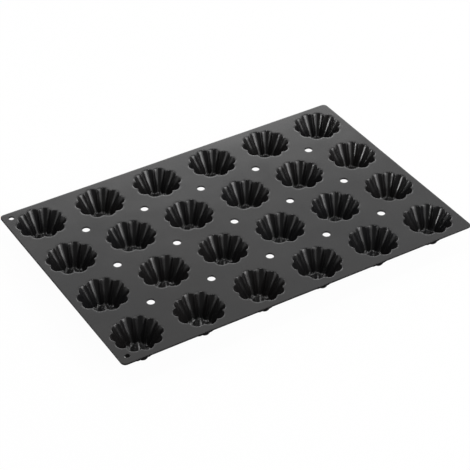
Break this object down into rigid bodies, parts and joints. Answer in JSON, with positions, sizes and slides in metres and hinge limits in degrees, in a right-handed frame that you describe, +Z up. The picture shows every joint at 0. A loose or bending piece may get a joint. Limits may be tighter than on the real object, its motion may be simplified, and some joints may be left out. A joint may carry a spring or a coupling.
{
  "type": "baking mould",
  "caption": "Flexible silicone baking sheet with rows of fluted round cups, air holes between them and hanging holes at one end.",
  "frame": {"origin": "middle of the sheet seen from above, on the plane that the cup bottoms stand on", "axes": "+X along the long side, with the hanging holes at the -X end; +Y across; +Z up, out of the open cups"},
  "size_m": [0.595, 0.397, 0.036],
  "materials": {
    "silicone": "satin dark grey silicone"
  },
  "bodies": {
    "root": {"mould": "silicone"}
  },
  "joints": []
}
